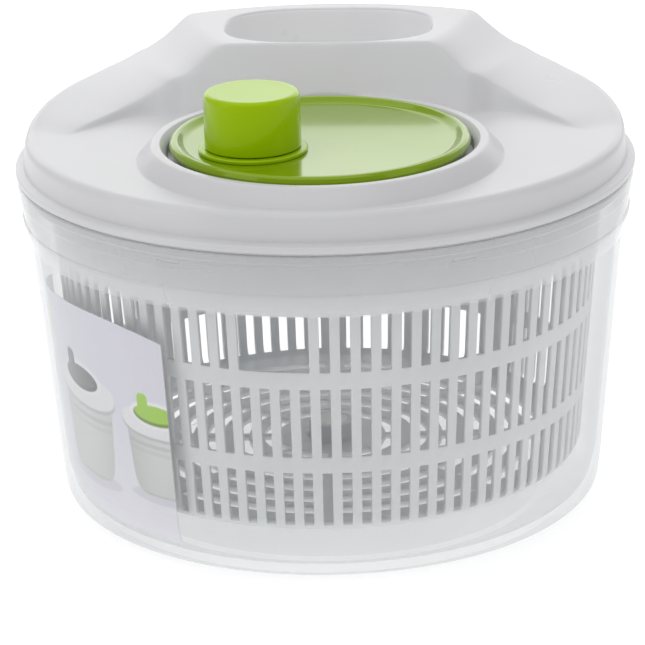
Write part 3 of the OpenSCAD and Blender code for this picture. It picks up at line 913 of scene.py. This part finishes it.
def make_knob():
    r = (KNOB_HIGH.x - KNOB_LOW.x) / 2
    top = KNOB_HIGH.z
    return lathe("knob_cap", [
        (0, top - 0.25, 0), (r - 4.5, top - 0.15, 8), (r - 0.1, top, 2.0), (r - 0.02, 160.5, 0),
        (r - 0.02, COLLAR_TOP + 0.4, 0.5), (r - 2.4, COLLAR_TOP + 0.4, 0.4),
        (r - 3.0, top - 4.0, 1.5), (5.0, top - 4.0, 1.0), (5.0, KNOB_LOW.z + 0.05, 0.3),
        (0, KNOB_LOW.z + 0.05, 0)], KNOB, count=160, steps=8)


# ------------------------------------------------------------------ paper card


CARD_TURN = (31.6, 93.4)  # degrees left of the front, from the card's right edge to its left
CARD_R = -3.1  # from the bowl's outer face to the middle of the card


def card_point(turn, z):
    r = wall_r(z) + CARD_R - 2.6 * max(0.0, (18 - z) / 10) ** 2
    a = math.radians(-90 - turn)
    return r * math.cos(a), r * math.sin(a)


def card_top(turn):
    """Top edge: highest a third of the way along, lower towards both ends."""
    bend = 0.0136 if turn < 49.6 else 0.0052
    return 96.6 - bend * (turn - 49.6) ** 2


def blob(u, v, cu, cv, ru, rv, exponent=2.0):
    """1 inside a rounded shape and 0 outside, with a soft edge."""
    d = (abs((u - cu) / ru) ** exponent + abs((v - cv) / rv) ** exponent) ** (1 / exponent)
    return min(1.0, max(0.0, (1.0 - d) * min(ru, rv) / 0.35 + 0.5))


def over(base, colour, amount):
    return tuple(b + (c - b) * amount for b, c in zip(base, colour))


def print_spinner(paint, u, v, cu, cv, s, disc):
    """A plain little bowl with a lid and a crank disc, centred at cu, cv and s wide."""
    du, dv = (u - cu) / s, (v - cv) / s
    paint = over(paint, (0.50, 0.50, 0.54), 0.40 * blob(u, v, cu, cv - 0.63 * s, 0.50 * s, 0.09 * s))
    taper = 1 + 0.18 * dv
    body = blob(du / taper * s, v, 0, cv - 0.16 * s, 0.46 * s, 0.47 * s, 5.0)
    shade = 0.66 - 0.55 * abs(du + 0.05) ** 2 + 0.05 * dv
    paint = over(paint, (shade, shade + 0.012, shade), body)
    for level, strength in ((0.02, 0.5), (-0.06, 0.25), (-0.57, 0.5)):
        line = cv + (level - 0.06 * math.sqrt(max(0.0, 1 - (du / 0.5) ** 2))) * s
        paint = over(paint, (0.42, 0.43, 0.44), strength * body * blob(0, v, 0, line, 1, 0.022 * s))
    paint = over(paint, (0.48, 0.48, 0.50), 0.8 * blob(u, v, cu, cv + 0.20 * s, 0.535 * s, 0.17 * s, 2.4))
    paint = over(paint, (0.78, 0.78, 0.80), blob(u, v, cu, cv + 0.235 * s, 0.53 * s, 0.17 * s, 2.4))
    paint = over(paint, (0.84, 0.84, 0.86), blob(u, v, cu + 0.03 * s, cv + 0.33 * s, 0.37 * s, 0.155 * s))
    edge = tuple(c * 0.45 for c in disc)
    paint = over(paint, edge, blob(u, v, cu + 0.03 * s, cv + 0.325 * s, 0.315 * s, 0.115 * s))
    paint = over(paint, disc, blob(u, v, cu + 0.03 * s, cv + 0.345 * s, 0.29 * s, 0.095 * s))
    return over(paint, disc, blob(u, v, cu + 0.20 * s, cv + 0.45 * s, 0.075 * s, 0.11 * s, 3.5))


def card_paint(u, v):
    """Colour of the card's front at u mm left of its right edge and v mm up."""
    paint = over((0.80, 0.79, 0.85), (0.71, 0.70, 0.78), min(1.0, max(0.0, v / 50)))
    paint = over(paint, (0.66, 0.74, 0.46), 0.8 * blob(u, v, 88, 70, 6, 12, 3.0))
    paint = print_spinner(paint, u, v, 50.9, 43.0, 42.5, (0.12, 0.12, 0.13))
    return print_spinner(paint, u, v, 4.9, 40.7, 36.0, (0.36, 0.62, 0.05))


def make_card():
    """A thin bent sheet with its print in a colour attribute."""
    across, up = (330, 230)
    half = 0.2
    shell = Shell()
    grid = []
    colours = []
    low = 9.0
    for i in range(across + 1):
        turn = CARD_TURN[0] + (CARD_TURN[1] - CARD_TURN[0]) * i / across
        top = card_top(turn)
        row = []
        for j in range(up + 1):
            z = low + (top - low) * j / up
            x, y = card_point(turn, z)
            row.append((x, y, z))
            colours.append(card_paint((turn - CARD_TURN[0]) * 1.93, z - low))
        grid.append(row)
    front, back = [
        [shell.add([(x * (1 + shift / 110), y * (1 + shift / 110), z) for x, y, z in row]) for row in grid]
        for shift in (half, -half)]
    for i in range(across):
        for j in range(up):
            shell.faces.append((front[i][j], front[i][j + 1], front[i + 1][j + 1], front[i + 1][j]))
            shell.faces.append((back[i][j], back[i + 1][j], back[i + 1][j + 1], back[i][j + 1]))
    for i in range(across):
        for j in (0, up):
            shell.faces.append((front[i][j], front[i + 1][j], back[i + 1][j], back[i][j]))
    for j in range(up):
        for i in (0, across):
            shell.faces.append((front[i][j], front[i][j + 1], back[i][j + 1], back[i][j]))
    card = shell.build("card_print", merge=0.00001)
    values = colours + [(0.90, 0.90, 0.92)] * len(colours)
    layer = card.data.color_attributes.new("print", "FLOAT_COLOR", "POINT")
    layer.data.foreach_set("color", [c for value in values for c in (*value, 1.0)])
    return card


# ------------------------------------------------------------------ put together


def dress(obj, material, body, slot, *nodes):
    obj.data.materials.clear()
    obj.data.materials.append(material)
    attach(obj, body)
    if nodes:
        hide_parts(*nodes)


def second_material(obj, material, chosen):
    """Gives the faces whose middle, in millimetres, is chosen another material."""
    obj.data.materials.append(material)
    for face in obj.data.polygons:
        if chosen(face.center / MM):
            face.material_index = 1


def finish_node(node, material):
    """Gives a shown CAD node its material."""
    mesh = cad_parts[node].data
    mesh.materials.clear()
    mesh.materials.append(material)


GREEN_SHINE = (0.55, 0.9, 0.02)
white = moulded_plastic(
    "lid_polypropylene", (0.625, 0.625, 0.64), (0.60, 0.60, 0.615), (0.26, 0.32), 500, 0.002,
    under_skin=0.25, reach=3.0, level=0.35)
green = moulded_plastic(
    "crank_green_plastic", (0.215, 0.335, 0.002), (0.20, 0.31, 0.002), (0.10, 0.18), 500, 0.004,
    under_skin=0.05, reach=1.0, coat=0.45, shine=GREEN_SHINE)
knob_green = moulded_plastic(
    "knob_green_plastic", (0.33, 0.51, 0.001), (0.31, 0.48, 0.001), (0.14, 0.22), 500, 0.004,
    under_skin=0.05, reach=1.0, coat=0.12, shine=GREEN_SHINE)
clear = clear_plastic("bowl_clear_plastic", light=0.86)
clouded = clear_plastic("bowl_collar_plastic", 0.30, 0.90, light=0.74)
# the lid's own plastic made lighter for the recess: painted light that lifts the shade inside the hollow
recess_brightened_white = moulded_plastic(
    "recess_brightened_polypropylene", (0.82, 0.82, 0.825), (0.79, 0.79, 0.80), (0.24, 0.34), 500, 0.002,
    under_skin=0.25, reach=3.0, level=0.35)
milky = milky_plastic("basket_milky_plastic")
paper = printed_paper("card_paper")
acetal = moulded_plastic(
    "bearing_acetal", (0.86, 0.86, 0.82), (0.80, 0.80, 0.76), (0.35, 0.5), 1200, 0.01, 0.2)
inner_white = moulded_plastic(
    "inner_white_plastic", (0.82, 0.82, 0.84), (0.77, 0.77, 0.79), (0.35, 0.5), 900, 0.015, 0.2)
zinc = steel("zinc_plated_steel", (0.62, 0.63, 0.65))
bright = steel("bright_steel", (0.74, 0.75, 0.77), (0.15, 0.28))

bowl = make_bowl()
dress(bowl, clear, "bowl", "bowl_clear", "bowl")
second_material(bowl, clouded, lambda p: p.z > 110.6)
basket, basket_hub = make_basket()
dress(basket, milky, "basket", "basket_frosted", "basket")
dress(basket_hub, milky, "basket", "basket_frosted")
lid = make_lid()
dress(lid, white, "lid", "lid_white", "lid_shell")
# faces inside the recess take the lighter copy of the lid plastic, painted light against the hollow's shade
second_material(lid, recess_brightened_white, lambda p: (LID_FLAT - 0.3 < p.z < HANDLE_TOP - 0.8
                                              and in_oval(p.x, p.y, 0.3, min(p.z + 2, HANDLE_TOP))))
dress(make_disc(), green, "crank", "crank_green", "crank_disc")
dress(make_collar(), knob_green, "crank", "knob_green", "knob_collar")
dress(make_knob(), knob_green, "knob", "knob_green", "knob")
dress(make_card(), paper, "bowl", "card_paper", "paper_card")

for part in ("basket_bush", "crank_bush", "upper_bush", "lower_bush", "crank_gear", "pinion"):
    finish_node(part, acetal)
for part in ("gear_cover", "drive_plate"):
    finish_node(part, inner_white)
for part in ("cover_screws", "crank_washer", "crank_screw", "knob_washer", "knob_screw",
             "drive_washer", "drive_screw"):
    finish_node(part, zinc)
for part in ("pivot_pin", "drive_spindle"):
    finish_node(part, bright)


# ------------------------------------------------------------------ floor, light and camera


def make_floor():
    mesh = bpy.data.meshes.new("floor")
    s = 6.0
    mesh.from_pydata([(-s, -s, 0), (s, -s, 0), (s, s, 0), (-s, s, 0)], [], [(0, 1, 2, 3)])
    floor = bpy.data.objects.new("floor", mesh)
    bpy.context.scene.collection.objects.link(floor)
    mat, tree, shader = node_material("pale_floor")
    link(tree, two_colours(tree, noise(tree, 2, 2), (0.37, 0.37, 0.37), (0.39, 0.39, 0.39)),
         shader.inputs["Base Color"])
    shader.inputs["Emission Color"].default_value = (1, 1, 1, 1)
    shader.inputs["Emission Strength"].default_value = 0.72
    shader.inputs["Roughness"].default_value = 0.6
    mesh.materials.append(mat)


def area_light(name, place_at, aim_at, size, watts):
    data = bpy.data.lights.new(name, "AREA")
    data.shape = "RECTANGLE"
    data.size, data.size_y = size
    data.energy = watts
    obj = bpy.data.objects.new(name, data)
    obj.location = place_at
    obj.rotation_euler = (Vector(aim_at) - Vector(place_at)).to_track_quat("-Z", "Y").to_euler()
    obj.visible_camera = False
    bpy.context.scene.collection.objects.link(obj)


def make_world(strength):
    world = bpy.data.worlds.new("studio")
    world.use_nodes = True
    background = world.node_tree.nodes["Background"]
    background.inputs["Color"].default_value = (1.0, 1.0, 1.0, 1)
    background.inputs["Strength"].default_value = strength
    bpy.context.scene.world = world


def make_camera():
    """The photograph's view: a long lens 1.3 m in front, looking down by 19 degrees."""
    pitch, yaw, roll = 0.33478, -0.04603, 0.02418
    focal = 5.310853  # in picture widths
    sensor = 36
    right = Vector((math.cos(yaw), -math.sin(yaw), 0))
    up = Vector((math.sin(pitch) * math.sin(yaw), math.sin(pitch) * math.cos(yaw), math.cos(pitch)))
    tilted_right = math.cos(roll) * right - math.sin(roll) * up
    tilted_up = math.sin(roll) * right + math.cos(roll) * up
    back = tilted_right.cross(tilted_up)
    data = bpy.data.cameras.new("camera")
    data.sensor_width = sensor
    data.lens = focal * sensor
    data.clip_end = 50
    camera = bpy.data.objects.new("camera", data)
    matrix = Matrix((tilted_right, tilted_up, back)).transposed().to_4x4()
    matrix.translation = Vector((0.05719, -1.29874, 0.51941))
    camera.matrix_world = matrix
    bpy.context.scene.collection.objects.link(camera)
    bpy.context.scene.camera = camera


make_floor()
make_world(0.55)
area_light("overhead", (-0.3, -0.15, 1.8), (0, 0.0, 0.1), (2.2, 1.8), 12)
area_light("behind", (0.0, 1.6, 0.9), (0, 0, 0.15), (2.6, 1.4), 12)
area_light("left_front", (-1.5, -0.9, 0.7), (0, 0, 0.1), (0.9, 1.2), 3.5)
area_light("right_front", (1.6, -0.7, 0.6), (0, 0, 0.1), (0.9, 1.2), 2.5)
make_camera()
bpy.context.scene.view_settings.view_transform = "Standard"
